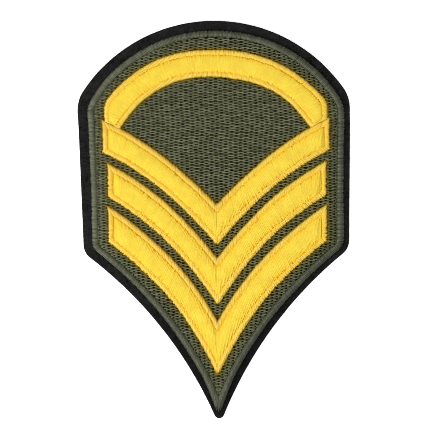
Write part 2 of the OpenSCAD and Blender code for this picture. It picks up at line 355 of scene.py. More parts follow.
def archLeaned(points):
    # the whole arch leans, and its hollow sits a little further over at the feet
    fromCentre = points - [0, archTop - archCut["outerRadius"]]
    outside = np.linalg.norm(fromCentre, axis=1)
    hollow = np.clip((archCut["outerRadius"] - outside) / archCut["depth"], 0, 1)
    outerSway, innerSway = [readOff(archCut[key], points[:, 0]) for key in ("outerSway", "innerSway")]
    sway = outerSway * (1 - hollow) + innerSway * hollow
    points = points + fromCentre / outside[:, None] * sway[:, None]
    low = 1 - np.clip((points[:, 1] - leanFrom) / leanOver, 0, 1)
    shift = archCut["innerLean"] * hollow * low
    return leaned(points, archCut["crownLean"]) - np.column_stack([shift, np.zeros(len(points))])


def archOutline(step):
    outerEdge, footEdge, innerEdge = archEdges(step)
    half = np.vstack([outerEdge, footEdge[1:-1], innerEdge[::-1]])
    return archLeaned(mirrored(half))


# Meshes. A part is a dictionary of points in millimetres, faces, and what its material reads
def part(points, faces, finish, lay=None, span=None, smooth=None):
    count = len(points)
    return {
        "points": points, "faces": faces, "finish": finish,
        "lay": np.zeros((count, 3)) if lay is None else lay,
        "span": np.full(count, 0.5) if span is None else span,
        "shade": np.zeros(count), "goldReflection": np.zeros(count),
        "smooth": [True] * len(faces) if smooth is None else smooth,
    }


def onFelt(points):
    # the stitching is a little turned and shifted on the felt
    turn = math.radians(stitchPlace["turn"])
    x, y, z = points.T
    return np.column_stack([
        stitchPlace["shift"] + x * math.cos(turn) - y * math.sin(turn),
        x * math.sin(turn) + y * math.cos(turn),
        z,
    ])


def addPiece(name, parts, node):
    points = np.vstack([p["points"] for p in parts]) * mm
    faces, slots, start = [], [], 0
    finishes = []
    for p in parts:
        if p["finish"] not in finishes:
            finishes.append(p["finish"])
        faces += [[start + i for i in face] for face in p["faces"]]
        slots += [finishes.index(p["finish"])] * len(p["faces"])
        start += len(p["points"])
    mesh = bpy.data.meshes.new(name)
    mesh.from_pydata(points.tolist(), [], faces)
    mesh.polygons.foreach_set("use_smooth", sum((p["smooth"] for p in parts), []))
    mesh.polygons.foreach_set("material_index", slots)
    lay = mesh.attributes.new("lay", "FLOAT_VECTOR", "POINT")
    lay.data.foreach_set("vector", np.vstack([p["lay"] for p in parts]).astype(np.float32).ravel())
    for key in ("span", "shade", "goldReflection"):
        values = mesh.attributes.new(key, "FLOAT", "POINT")
        values.data.foreach_set("value", np.concatenate([p[key] for p in parts]).astype(np.float32))
    for finish in finishes:
        mesh.materials.append(finish)
    mesh.update()
    piece = bpy.data.objects.new(name, mesh)
    bpy.context.collection.objects.link(piece)
    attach(piece, "root")
    if node:
        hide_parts(node)
    return piece


# the section of a thread: a flat underside and a round back, in degrees
threadSection = (-8, 38, 90, 142, 188)
hairSection = (-30, 90, 210)


def threads(paths, halfWidth, halfHeight, finish, own, section=threadSection):
    # paths holds points along each thread, and the half sizes are given at each of those points
    count, rings = paths.shape[:2]
    sides = len(section)
    run = np.gradient(paths, axis=1)
    run /= np.linalg.norm(run, axis=2, keepdims=True)
    across = np.cross(run, [0.0, 0.0, 1.0])
    across /= np.maximum(np.linalg.norm(across, axis=2, keepdims=True), 1e-9)
    up = np.cross(across, run)
    turn = np.radians(section)
    points = (paths[:, :, None]
              + across[:, :, None] * (halfWidth[:, :, None] * np.cos(turn))[..., None]
              + up[:, :, None] * (halfHeight[:, :, None] * np.sin(turn))[..., None])
    first = (np.arange(count * rings).reshape(count, rings, 1) * sides + np.arange(sides))
    a, b = first[:, :-1], first[:, 1:]
    quads = np.stack([a, np.roll(a, -1, axis=2), np.roll(b, -1, axis=2), b], axis=-1)
    faces = quads.reshape(-1, 4).tolist()
    smooth = ([True] * (sides - 1) + [False]) * (count * (rings - 1)) + [False] * (count * 2)
    faces += first[:, 0, ::-1].tolist() + first[:, -1].tolist()
    steps = np.linalg.norm(np.diff(paths, axis=1), axis=2)
    along = np.concatenate([np.zeros((count, 1)), np.cumsum(steps, axis=1)], axis=1)
    span = along / along[:, -1:]
    shape = (count, rings, sides)
    lay = np.stack([
        np.broadcast_to(along[:, :, None], shape),
        np.broadcast_to(np.asarray(section) / 360, shape),
        np.broadcast_to(own[:, None, None], shape),
    ], axis=-1)
    return part(points.reshape(-1, 3), faces, finish, lay.reshape(-1, 3),
                np.broadcast_to(span[:, :, None], shape).reshape(-1), smooth=smooth)


def ringFaces(rings, count, closed):
    i = np.arange(count)
    j = (i + 1) % count
    faces = []
    for k in range(rings if closed else rings - 1):
        a, b = k * count, (k + 1) % rings * count
        faces += np.column_stack([a + i, b + i, b + j, a + j]).tolist()
    return faces


def slab(rings, finish):
    # rings run from the middle of the underside round the edge to the middle of the top, and
    # each end is closed down to a spine along the middle
    count = len(rings[0])
    points = np.vstack(rings)
    faces = ringFaces(len(rings), count, False)
    i = np.arange(count)
    half = np.minimum(i, count - i)
    halfNext = np.minimum((i + 1) % count, count - (i + 1) % count)
    for ring, under in ((0, True), (len(rings) - 1, False)):
        start, base = len(points), ring * count
        middle = (rings[ring][: count // 2 + 1] + rings[ring][(-np.arange(count // 2 + 1)) % count]) / 2
        points = np.vstack([points, middle])
        quads = np.column_stack([base + i, start + half, start + halfNext, base + (i + 1) % count])
        faces += (quads[:, ::-1] if under else quads).tolist()
    return part(points, faces, finish)


def raised(outline, z):
    return np.column_stack([outline, np.full(len(outline), z)])


# Materials
class Wire:
    # a shader socket that can be used in sums
    def __init__(self, finish, socket):
        self.finish = finish
        self.socket = socket

    def maths(self, operation, first, second=0.0):
        return self.finish.node("ShaderNodeMath", {"operation": operation}, {0: first, 1: second})

    def __add__(self, other):
        return self.maths("ADD", self, other)

    def __radd__(self, other):
        return self.maths("ADD", other, self)

    def __sub__(self, other):
        return self.maths("SUBTRACT", self, other)

    def __rsub__(self, other):
        return self.maths("SUBTRACT", other, self)

    def __mul__(self, other):
        return self.maths("MULTIPLY", self, other)

    def __rmul__(self, other):
        return self.maths("MULTIPLY", other, self)

    def __truediv__(self, other):
        return self.maths("DIVIDE", self, other)

    def __rtruediv__(self, other):
        return self.maths("DIVIDE", other, self)

    def __abs__(self):
        return self.maths("ABSOLUTE", self)

    def sine(self):
        return self.maths("SINE", self)

    def between(self, low, high):
        ranged = {"Value": self, "From Min": low, "From Max": high}
        return self.finish.node("ShaderNodeMapRange", {"interpolation_type": "SMOOTHSTEP"}, ranged)


class Finish:
    def __init__(self, name, constants):
        self.material = bpy.data.materials.new(name)
        self.material.use_nodes = True
        self.nodes = self.material.node_tree.nodes
        self.surface = self.nodes["Principled BSDF"]
        for socket, value in constants.items():
            self.join(value, self.surface.inputs[socket])

    def join(self, value, socket):
        if isinstance(value, Wire):
            self.material.node_tree.links.new(value.socket, socket)
        else:
            socket.default_value = (*value, 1) if socket.type == "RGBA" else value

    def node(self, kind, settings, values, output=0):
        made = self.nodes.new(kind)
        for name, value in settings.items():
            setattr(made, name, value)
        for key, value in values.items():
            self.join(value, made.inputs[key])
        return Wire(self, made.outputs[output])

    def place(self, stretch=(1, 1, 1)):
        # where a point is on the patch, in millimetres
        where = self.node("ShaderNodeTexCoord", {}, {}, "Object")
        scale = tuple(s / mm for s in stretch)
        return self.node("ShaderNodeVectorMath", {"operation": "MULTIPLY"}, {0: where, 1: scale})

    def carried(self, name, output="Fac"):
        # what the mesh holds under this name at each point
        return self.node("ShaderNodeAttribute", {"attribute_name": name}, {}, output)

    def axes(self, vector):
        split = self.node("ShaderNodeSeparateXYZ", {}, {0: vector})
        return [Wire(self, socket) for socket in split.socket.node.outputs]

    def noise(self, where, scale, detail=2.0, roughness=0.5):
        values = {"Vector": where, "Scale": scale, "Detail": detail, "Roughness": roughness}
        return self.node("ShaderNodeTexNoise", {}, values)

    def mix(self, share, first, second):
        # inputs 6 and 7 and output 2 are the colour ones
        values = {"Factor": share, 6: first, 7: second}
        return self.node("ShaderNodeMix", {"data_type": "RGBA"}, values, 2)

    def bump(self, height, depth):
        values = {"Height": height, "Distance": depth * mm, "Strength": 1.0}
        self.join(self.node("ShaderNodeBump", {}, values), self.surface.inputs["Normal"])

    def shade(self, colour, roughness=None):
        self.join(colour, self.surface.inputs["Base Color"])
        if roughness is not None:
            self.join(roughness, self.surface.inputs["Roughness"])
        return self.material


# what all threads share: how fine their fibres are round and between threads, where the painted
# highlight on their crests levels off, how the painted shade at their sunk ends is spotted, and how much
# of their relief is twist and how much is fibre
threadGrain = {
    "aroundScale": 14, "ownScale": 90, "fibreDetail": 2, "cloudDetail": 3, "crestHighlightLevel": 0.85,
    "spotOwn": 7.31, "spotCloud": 3,
    "twistPitch": 0.5, "twistTurns": 2, "twistShare": 0.5, "fibreShare": 0.8,
    "roughnessSpread": 0.2, "sheenRoughness": 0.4,
}


def threadFinish(name, look):
    grain = threadGrain
    finish = Finish(name, {
        "Roughness": look["roughness"], "Specular IOR Level": look["gloss"],
        "Sheen Weight": look["sheen"], "Sheen Roughness": grain["sheenRoughness"],
        "Sheen Tint": look["light"],
    })
    along, around, own = finish.axes(finish.carried("lay", "Vector"))
    span = finish.carried("span")
    cloud = finish.noise(finish.place(), look["cloudScale"], grain["cloudDetail"])
    lie = {0: along * look["fibreScale"], 1: around * grain["aroundScale"], 2: own * grain["ownScale"]}
    fibre = finish.noise(finish.node("ShaderNodeCombineXYZ", {}, lie), 1.0, grain["fibreDetail"])
    tone = (0.5 + (own - 0.5) * look["ownTone"] + (cloud - 0.5) * look["cloudTone"]
            + (fibre - 0.5) * look["fibreTone"])
    # painted highlight: a thread is lighter along its raised middle, where light catches it
    if "crestHighlight" in look:
        fromMiddle = span * 2 - 1
        tone += (1 - fromMiddle * fromMiddle - grain["crestHighlightLevel"]) * look["crestHighlight"]
    colour = finish.mix(tone.between(0, 1), look["dark"], look["light"])
    # where the ends sink into the cloth they are painted in a shade colour: one where a thread starts,
    # another where it ends
    spots = (own * grain["spotOwn"] + cloud * grain["spotCloud"]).sine().between(-1, 1)
    for away, end in ((1 - span, look["startEnd"]), (span, look["farEnd"])):
        endShade = away.between(1 - end["reach"], 1 - end["full"])
        amount = endShade * (1 - spots * end["spotted"]) * end["tone"]
        colour = finish.mix(amount, colour, end["colour"])
    # painted shade, and on the ground a painted reflection of the gold, as the mesh carries them
    colour = finish.mix(finish.carried("shade"), colour, look["shadeColour"])
    if "goldReflectionColour" in look:
        colour = finish.mix(finish.carried("goldReflection"), colour, look["goldReflectionColour"])
    twist = ((along / grain["twistPitch"] + around * grain["twistTurns"] + own) * (2 * math.pi)).sine()
    finish.bump(twist * grain["twistShare"] + fibre * grain["fibreShare"], look["twistDepth"])
    return finish.shade(colour, look["roughness"] + (fibre - 0.5) * grain["roughnessSpread"])


underGrain = {"roughness": 0.9, "gloss": 0.05, "scale": 3.0, "detail": 4, "depth": 0.05}


def underFinish(name, dark, light):
    # the padding and cloth seen in the gaps between threads, and the felt's loose fibres
    look = underGrain
    finish = Finish(name, {"Roughness": look["roughness"], "Specular IOR Level": look["gloss"]})
    grain = finish.noise(finish.place(), look["scale"], look["detail"])
    finish.bump(grain, look["depth"])
    return finish.shade(finish.mix(grain, dark, light))


# painted shade for the olive threads' ends, where they sink into the needle holes
oliveEndShade = {
    "colour": (0.003, 0.0035, 0.0005), "reach": 0.25, "full": 0.15, "tone": 0.85, "spotted": 0.35,
}
oliveLook = {
    "dark": (0.063, 0.067, 0.028), "light": (0.182, 0.190, 0.111),
    # painted colours beside the gold: a brown shade, and a reflection of the gold on its lee side
    "shadeColour": (0.190, 0.130, 0.003), "goldReflectionColour": (0.40, 0.25, 0.022),
    "startEnd": oliveEndShade, "farEnd": oliveEndShade,
    "ownTone": 0.42, "cloudTone": 0.1, "cloudScale": 0.25, "crestHighlight": 0.5,
    "fibreTone": 1.2, "fibreScale": 2.0,
    "roughness": 0.4, "gloss": 0.12, "sheen": 0.0, "twistDepth": 0.02,
}
oliveSatinLook = {
    "dark": (0.075, 0.081, 0.043), "light": (0.132, 0.139, 0.086),
    "shadeColour": (0.016, 0.018, 0.008),
    # painted shade at both ends of the satin threads, at the felt and in the groove
    "startEnd": {
        "colour": (0.016, 0.018, 0.008), "reach": 0.12, "full": 0.0, "tone": 0.9, "spotted": 0.2,
    },
    "farEnd": {
        "colour": (0.016, 0.018, 0.008), "reach": 0.2, "full": 0.03, "tone": 0.45, "spotted": 0.3,
    },
    "ownTone": 0.7, "cloudTone": 1.3, "cloudScale": 0.3,
    "fibreTone": 0.8, "fibreScale": 0.8,
    "roughness": 0.42, "gloss": 0.3, "sheen": 0.01, "twistDepth": 0.015,
}
goldLook = {
    "dark": (0.79, 0.53, 0.020), "light": (0.885, 0.675, 0.042),
    "shadeColour": (0.52, 0.25, 0.006),
    # painted orange shade at both ends of the fill threads, in the grooves beside the edging
    "startEnd": {
        "colour": (0.98, 0.52, 0.005), "reach": 0.38, "full": 0.01, "tone": 0.6, "spotted": 0.6,
    },
    "farEnd": {
        "colour": (0.98, 0.52, 0.005), "reach": 0.25, "full": 0.01, "tone": 0.6, "spotted": 0.6,
    },
    "ownTone": 0.16, "cloudTone": 1.35, "cloudScale": 0.3, "crestHighlight": 0.15,
    "fibreTone": 1.25, "fibreScale": 2.2,
    "roughness": 0.42, "gloss": 0.4, "sheen": 0.03, "twistDepth": 0.015,
}
goldSatinLook = {
    "dark": (0.745, 0.475, 0.044), "light": (0.835, 0.610, 0.080),
    "shadeColour": (0.58, 0.27, 0.004),
    # painted shade at the ends: dark brown at the outer edge beside the ground, amber in the groove at
    # the inner edge
    "startEnd": {
        "colour": (0.20, 0.13, 0.008), "reach": 0.5, "full": 0.07, "tone": 1.0, "spotted": 0.2,
    },
    "farEnd": {
        "colour": (0.92, 0.53, 0.006), "reach": 0.5, "full": 0.1, "tone": 0.85, "spotted": 0.45,
    },
    "ownTone": 0.5, "cloudTone": 0.5, "cloudScale": 0.5,
    "fibreTone": 0.5, "fibreScale": 0.8,
    "roughness": 0.45, "gloss": 0.4, "sheen": 0.03, "twistDepth": 0.015,
}
oliveThread = threadFinish("oliveThread", oliveLook)
oliveSatin = threadFinish("oliveSatin", oliveSatinLook)
goldThread = threadFinish("goldThread", goldLook)
goldSatin = threadFinish("goldSatin", goldSatinLook)
oliveUnder = underFinish("oliveUnder", (0.006, 0.007, 0.0015), (0.014, 0.016, 0.004))
satinUnder = underFinish("satinUnder", (0.028, 0.031, 0.017), (0.058, 0.062, 0.037))
goldUnder = underFinish("goldUnder", (0.74, 0.36, 0.006), (0.88, 0.48, 0.008))

feltLook = {
    "dark": (0.0012, 0.0013, 0.0013), "light": (0.0210, 0.0210, 0.0200),
    "roughness": 0.95, "gloss": 0.05,
    "sheen": 0.02, "sheenRoughness": 0.6, "sheenTint": (0.5, 0.52, 0.6),
    # matted fibres: fine noise drawn out along three headings
    "stretches": ((1, 0.16, 1), (0.16, 1, 1), (0.5, 0.5, 0.2)),
    "fibreScale": 2.2, "fibreRoughness": 0.6, "fibreSharpness": 3, "fibreShare": 0.7,
    "cloudScale": 0.35, "cloudShare": 0.8, "detail": 3, "toneRange": (0.3, 1.2),
    "footShadeLevel": 0.55, "footReach": (-45, 0),  # painted shade: darker towards the point, between these two heights
    "depth": 0.14, "cloudDepth": 2,
}


def feltFinish(look):
    finish = Finish("blackFelt", {
        "Roughness": look["roughness"], "Specular IOR Level": look["gloss"],
        "Sheen Weight": look["sheen"], "Sheen Roughness": look["sheenRoughness"],
        "Sheen Tint": look["sheenTint"],
    })
    strands = []
    for stretch in look["stretches"]:
        fibre = finish.noise(finish.place(stretch), look["fibreScale"], look["detail"],
                             look["fibreRoughness"])
        strands.append(1 - abs(fibre * 2 - 1) * look["fibreSharpness"])
    matted = sum(strands) / len(strands)
    cloud = finish.noise(finish.place(), look["cloudScale"], look["detail"])
    height = finish.axes(finish.place())[1]
    # painted shade: the felt is darker towards the point
    footShade = look["footShadeLevel"] + (1 - look["footShadeLevel"]) * height.between(*look["footReach"])
    tone = matted * look["fibreShare"] + cloud * look["cloudShare"]
    finish.bump(matted + cloud * look["cloudDepth"], look["depth"])
    return finish.shade(finish.mix(tone.between(*look["toneRange"]) * footShade, look["dark"], look["light"]))


blackFelt = feltFinish(feltLook)
blackFuzz = underFinish("blackFuzz", (0.008, 0.008, 0.009), (0.03, 0.03, 0.033))
print("patch: materials made")

# Felt base
feltForm = {
    "edgeRound": 0.3, "edgeRings": 5, "shares": (0.96, 0.9, 0.8, 0.66, 0.5, 0.32, 0.14),
    "spine": 0.3,  # how far up and down its middle line reaches, as a share of the height
    "inward": 0.98,
    "wander": 0.04, "wanderScale": 9, "swell": 0.05, "swellScale": 7, "seed": 3,
    "area": 6430,  # of the felt laid flat, in square millimetres
}
waveForm = {"count": 6, "pace": 0.6, "paceStep": 0.35, "level": 3.52}


def smoothNoise(points, scale, seed):
    # a sum of slow waves with seeded headings, about -1 to 1
    rng = np.random.default_rng(seed)
    total = np.zeros(len(points))
    for wave in range(waveForm["count"]):
        heading = rng.normal(size=points.shape[1])
        pace = waveForm["pace"] + waveForm["paceStep"] * wave
        heading *= 2 * math.pi / scale * pace / np.linalg.norm(heading)
        total += np.sin(points @ heading + rng.uniform(0, 2 * math.pi))
    return total / waveForm["level"]


def buildFelt():
    form, thick = feltForm, feltCut["thickness"]
    outline = feltOutline()
    count = len(outline)
    half = np.minimum(np.arange(count), count - np.arange(count)) / (count // 2)
    spine = np.column_stack([np.zeros(count), feltCut["height"] * form["spine"] * (1 - 2 * half)])
    towards = spine - outline
    reach = np.linalg.norm(towards, axis=1, keepdims=True)
    towards /= reach
    wander = 0.5 + 0.5 * smoothNoise(outline, form["wanderScale"], form["seed"])
    outline = outline + towards * wander[:, None] * form["wander"]
    turn = np.linspace(0, math.pi / 2, form["edgeRings"])
    inset, rise = form["edgeRound"] * (1 - np.sin(turn)), form["edgeRound"] * (1 - np.cos(turn))
    low = [raised(outline + towards * i, z) for i, z in zip(inset, rise)]
    high = [raised(outline + towards * i, thick - z) for i, z in zip(inset[::-1], rise[::-1])]
    flat = reach - form["edgeRound"]
    inner = [outline + towards * (form["edgeRound"] + (1 - s) * flat * form["inward"])
             for s in form["shares"]]
    under, over = [raised(ring, 0) for ring in inner[::-1]], [raised(ring, thick) for ring in inner]
    made = slab(under + low + high + over, blackFelt)
    points = made["points"]
    swell = smoothNoise(points[:, :2], form["swellScale"], form["seed"] + 1) * form["swell"]
    points[:, 2] += np.where(points[:, 2] > thick / 2, swell - form["swell"], 0)
    felt = addPiece("felt_base", [made], "felt_backing")


buildFelt()
print("patch: felt cut")

# Loose fibres on the bare felt and along its cut edge
fuzzForm = {
    "count": 3200, "rimCount": 1500, "length": (0.5, 1.6), "rimLength": 0.45,
    "thick": 0.011, "thinning": 0.6, "curl": 1.6, "rings": 6, "seed": 5,
    # where they are rooted: how finely along the cut edge, how far in from it, and how high
    "rootGap": 0.05, "depth": (0.1, 3.2), "rimDepth": (0.02, 0.12), "endShade": 0.03, "rimMargin": 0.12,
    "rimSpread": 0.9, "stray": 0.16,
    "lift": 0.05, "liftShare": (0.3, 1), "rimLift": 0.08, "clear": 0.02, "lowest": 0.03,
}


def buildFuzz():
    form, thick = fuzzForm, feltCut["thickness"]
    rng = np.random.default_rng(form["seed"])
    outline = thickened(feltOutline(), form["rootGap"])
    run = np.roll(outline, -1, axis=0) - outline
    inward = np.column_stack([run[:, 1], -run[:, 0]]) / np.linalg.norm(run, axis=1, keepdims=True)
    count, rimCount = form["count"], form["rimCount"]
    total = count + rimCount
    pick = rng.integers(0, len(outline), total)
    inward = inward[pick]
    deep = np.concatenate([rng.uniform(*form["depth"], count),
                           rng.uniform(*form["rimDepth"], rimCount)])
    root = outline[pick] + inward * deep[:, None]
    z = np.concatenate([np.full(count, thick - form["endShade"]),
                        rng.uniform(form["rimMargin"], thick - form["rimMargin"], rimCount)])
    length = rng.uniform(*form["length"], total)
    length[count:] *= form["rimLength"]
    edgeWay = np.arctan2(-inward[:, 1], -inward[:, 0])
    heading = np.concatenate([rng.uniform(0, 2 * math.pi, count),
                              edgeWay[count:] + rng.normal(0, form["rimSpread"], rimCount)])
    share = np.linspace(0, 1, form["rings"])
    way = heading[:, None] + rng.normal(0, form["curl"], (total, 1)) * share
    step = length[:, None] / (form["rings"] - 1)
    moved = np.stack([np.cumsum(turned * step, axis=1) for turned in (np.cos(way), np.sin(way))], axis=2)
    # strays stay within a short way of the cut edge
    out = -(moved * inward[:, None]).sum(axis=2) - deep[:, None]
    back = np.maximum(out - form["stray"] * rng.random((total, 1)), 0)
    flat = root[:, None] + moved + back[..., None] * inward[:, None]
    lift = rng.uniform(*form["liftShare"], (total, 1)) * form["lift"] * np.sin(np.pi * share)
    lift[count:] = rng.normal(0, form["rimLift"], (rimCount, 1)) * share
    high = np.clip(z[:, None] + lift + form["clear"], form["lowest"], thick + form["lift"])
    paths = np.concatenate([flat, high[..., None]], axis=2)
    thin = np.broadcast_to(form["thick"] * (1 - form["thinning"] * share), (total, form["rings"]))
    hairs = threads(paths, thin, thin, blackFuzz, rng.random(total), hairSection)
    addPiece("felt_fuzz", [hairs], None)
    print("patch: felt fibres", total)


buildFuzz()

# Stitching helpers. All laid threads narrow to their ends in one way and differ a little in width
laidForm = {"endShare": 0.02, "endPower": 0.4, "widthSpread": (0.9, 1.12)}
padForm = {"heights": (0, 0.5, 0.85, 0.95, 0.85, 0.5, 0), "margin": 0.06, "drop": 0.05}


def stations(outer, inner, form, rng):
    # evenly spaced pairs of points on two closed lines that run side by side
    outer, inner = np.vstack([outer, outer[:1]]), np.vstack([inner, inner[:1]])
    length = lengthAlong((outer + inner) / 2)
    count = round(length[-1] / form["pitch"])
    wobble = rng.uniform(-form["wobble"], form["wobble"], count)
    at = (np.arange(count) + 0.5 + wobble) * length[-1] / count
    return pointsAt(outer, length, at), pointsAt(inner, length, at)


def layAcross(start, end, form, rise, rng, finish):
    # threads from start to end, over a rise that is given for each point along each thread
    rings = form["rings"]
    count = len(start)
    share = (0.5 - 0.5 * np.cos(np.pi * np.arange(rings) / (rings - 1)))[None, :]
    run = end - start
    unit = run / np.linalg.norm(run, axis=1, keepdims=True)
    start = start - unit * rng.normal(0, form["ragged"][0], (count, 1))
    end = end + unit * rng.normal(0, form["ragged"][1], (count, 1))
    flat = start[:, None] + (end - start)[:, None] * share[..., None]
    side = np.column_stack([-unit[:, 1], unit[:, 0]])
    bow = rng.normal(0, form["bow"], (count, 1)) * np.sin(np.pi * share)
    flat = flat + side[:, None] * bow[..., None]
    z = rise(share, flat) + rng.normal(0, form["uneven"], (count, 1)) * np.sin(np.pi * share)
    paths = np.concatenate([flat, z[..., None]], axis=2)
    fullness = np.sin(np.pi * np.clip(share, laidForm["endShare"], 1 - laidForm["endShare"]))
    taper = form["endWidth"] + (1 - form["endWidth"]) * fullness ** laidForm["endPower"]
    spread = rng.uniform(*laidForm["widthSpread"], (count, 1))
    width = np.broadcast_to(form["halfWidth"] * taper, (count, rings)) * spread
    height = np.broadcast_to(form["halfHeight"] * taper, (count, rings))
    paths[..., 2] -= height
    made = threads(paths, width, height, finish, rng.random(count))
    made["points"] = onFelt(made["points"])
    return made


def dome(share, power):
    # a rounded crest, 0 at both ends and 1 in the middle
    return np.sqrt(np.maximum(1 - np.abs(2 * share - 1) ** power, 0))


def bandUnder(outlineAt, width, low, high, finish):
    # the padding under a band of satin stitches
    heights = padForm["heights"]
    shares = np.linspace(padForm["margin"], 1 - padForm["margin"], len(heights))
    rings = [raised(outlineAt(width * s), low + (high - low) * h) for s, h in zip(shares, heights)]
    points = onFelt(np.vstack(rings))
    return part(points, ringFaces(len(rings), len(rings[0]), True), finish)


# Stitched ground
groundForm = {
    "pitch": 0.4, "length": 2.9, "shortest": 0.35, "spareHoles": 4,
    "halfWidth": 0.205, "endWidth": 0.22, "halfHeight": 0.14, "widthSpread": (0.94, 1.08),
    "crest": 2.36, "dip": 0.55, "dipPower": 1.4, "taper": 0.24,
    "shares": (0, 0.05, 0.12, 0.22, 0.36, 0.64, 0.78, 0.88, 0.95, 1),
    "holeWobble": (0.09, 0.03), "columnWander": 0.3, "wanderScale": 22, "uneven": 0.04, "bow": 0.02,
    # its threads sink beside the gold and are painted a brown shade there, and on one side of it they
    # carry a painted reflection of the gold's light
    "nearGold": 1.3, "goldDip": 0.1, "lee": (0.25, 0.17), "leeReach": 0.65, "leeReflection": 0.5,
    # painted light near the gold: how much lighter they look, by heading, and how far out
    "paintedGoldLight": [(0, 0), (60, 0), (95, 0.14), (120, 0.22), (265, 0.22), (285, 0), (360, 0)],
    "paintedGoldLightReach": 1.9,
    # painted shade beside the satin: how much darker they look, by heading, and how far in
    "sideShade": [(0, 0.95), (45, 0.65), (90, 0.1), (135, 0.3), (170, 0), (200, 0), (250, 0.3), (290, 0.4),
             (320, 0.6), (360, 0.95)],
    "sideShadeReach": 3.5,
    # they stop this far inside the ground's outline, but for a tuck, and those that lie wholly
    # this deep under the gold are left out
    "underSatin": 1.95, "tuck": 0.3, "underGold": 0.75,
    "base": 1.8, "baseEdge": 1.5, "baseSpine": 0.45, "baseShare": 0.5, "seed": 11,
    "parting": 12,  # its two pieces meet at this height
}


def spansAt(outline, y):
    # where a horizontal line lies inside an outline
    x1, y1 = outline.T
    x2, y2 = np.roll(outline, -1, axis=0).T
    cut = (y1 > y) != (y2 > y)
    share = (y - y1[cut]) / (y2[cut] - y1[cut])
    x = np.sort(x1[cut] + share * (x2[cut] - x1[cut]))
    return list(zip(x[::2], x[1::2]))


def goldOutlines(step):
    return [archOutline(step)] + [chevronOutline(name, step) for name in chevrons]


def groundStitches(form, rng):
    edge = groundOutline(form["underSatin"])
    hidden = goldOutlines(form["underGold"])
    low, high = edge[:, 1].min(), edge[:, 1].max()
    rows = np.arange(low + form["pitch"] / 2, high, form["pitch"])
    wander = smoothNoise(rows[:, None], form["wanderScale"], form["seed"]) * form["columnWander"]
    count = int(feltCut["width"] / form["length"]) + form["spareHoles"]
    starts, ends = [], []
    for k, y in enumerate(rows):
        spans = spansAt(edge, y)
        covered = [s for outline in hidden for s in spansAt(outline, y)]
        holes = (np.arange(count) - count / 2 + (k % 2) / 2) * form["length"] + wander[k]
        holes = holes + rng.normal(0, form["holeWobble"][0], count)
        drift = rng.normal(0, form["holeWobble"][1], count)
        for i in range(count - 1):
            for a, b in spans:
                x1, x2 = max(holes[i], a - form["tuck"]), min(holes[i + 1], b + form["tuck"])
                if x2 - x1 < form["shortest"] or any(c < x1 and x2 < d for c, d in covered):
                    continue
                starts.append((x1, y + drift[i]))
                ends.append((x2, y + drift[i + 1]))
    return np.array(starts), np.array(ends)


def nearness(outlines, points, reach):
    # 1 on the outlines, falling to 0 at this distance from them
    edges = np.vstack([thickened(outline) for outline in outlines])
    tree = KDTree(len(edges))
    for i, (x, y) in enumerate(edges):
        tree.insert((x, y, 0), i)
    tree.balance()
    away = np.array([tree.find((x, y, 0))[2] for x, y in points[..., :2].reshape(-1, 2)])
    left = np.clip(1 - away / reach, 0, 1).reshape(points.shape[:-1])
    return left * left * (3 - 2 * left)


def groundBase(form):
    # the cloth under the stitches, seen in the gaps between them
    edge = groundOutline(form["baseEdge"])
    middle = np.column_stack([np.zeros(len(edge)), edge[:, 1] * form["baseSpine"]])
    low, top, inner = feltCut["thickness"], form["base"], form["baseShare"]
    rings = [raised(middle + (edge - middle) * share, z)
             for share, z in ((inner, low), (1, low), (1, top), (inner, top))]
    base = slab(rings, oliveUnder)
    base["points"] = onFelt(base["points"])
    return base


def buildGround():
    form = groundForm
    rng = np.random.default_rng(form["seed"])
    start, end = groundStitches(form, rng)
    share = np.array(form["shares"])[None, :]
    count, rings = len(start), share.size
    flat = start[:, None] + (end - start)[:, None] * share[..., None]
    flat[..., 1] += rng.normal(0, form["bow"], (count, 1)) * np.sin(np.pi * share)
    fromHole = np.clip(np.minimum(share, 1 - share) / form["taper"], 0, 1)
    hump = np.sin(fromHole * np.pi / 2)
    z = form["crest"] - form["dip"] * (1 - hump) ** form["dipPower"]
    z = z + rng.normal(0, form["uneven"], (count, 1)) * hump
    swell = form["endWidth"] + (1 - form["endWidth"]) * fromHole * fromHole * (3 - 2 * fromHole)
    width = form["halfWidth"] * swell * rng.uniform(*form["widthSpread"], (count, 1))
    height = np.broadcast_to(form["halfHeight"] * swell, (count, rings))
    paths = np.concatenate([flat, (z - height)[..., None]], axis=2)
    gold = goldOutlines(0)
    # stitches near the gold sink a little and are painted a brown shade, and on the lee side they carry
    # a painted reflection of the gold
    hush = nearness(gold, paths, form["nearGold"])
    lee = np.array([*form["lee"], 0])
    leeSide, farSide = [nearness(gold, paths + away, form["leeReach"]) for away in (-lee, lee)]
    goldReflection = np.maximum(leeSide - farSide, 0) * form["leeReflection"]
    paths[..., 2] -= hush * form["goldDip"]
    middle = (start + end) / 2
    heading = np.degrees(np.arctan2(middle[:, 1], middle[:, 0])) % 360
    # painted shade: stitches beside the satin are darker on the sides turned from the light
    bySatin = nearness([groundOutline(groundCut["satinWidth"])], middle, form["sideShadeReach"])
    sideShade = readOff(form["sideShade"], heading) * bySatin
    # painted light near the gold, stronger on some headings
    paintedGoldLight = nearness(gold, paths, form["paintedGoldLightReach"]).mean(axis=1) * readOff(form["paintedGoldLight"], heading)
    own = rng.random(count) - sideShade + paintedGoldLight
    high = middle[:, 1] > form["parting"]
    for name, chosen, others in (("upper", high, []), ("lower", ~high, [groundBase(form)])):
        stitches = threads(paths[chosen], width[chosen], height[chosen], oliveThread, own[chosen])
        stitches["points"] = onFelt(stitches["points"])
        stitches["shade"] = np.repeat(hush[chosen].reshape(-1), len(threadSection))
        stitches["goldReflection"] = np.repeat(goldReflection[chosen].reshape(-1), len(threadSection))
        addPiece("ground_stitching_" + name, [stitches] + others, "ground_fill")
        print("patch: ground stitches", name, chosen.sum())


buildGround()

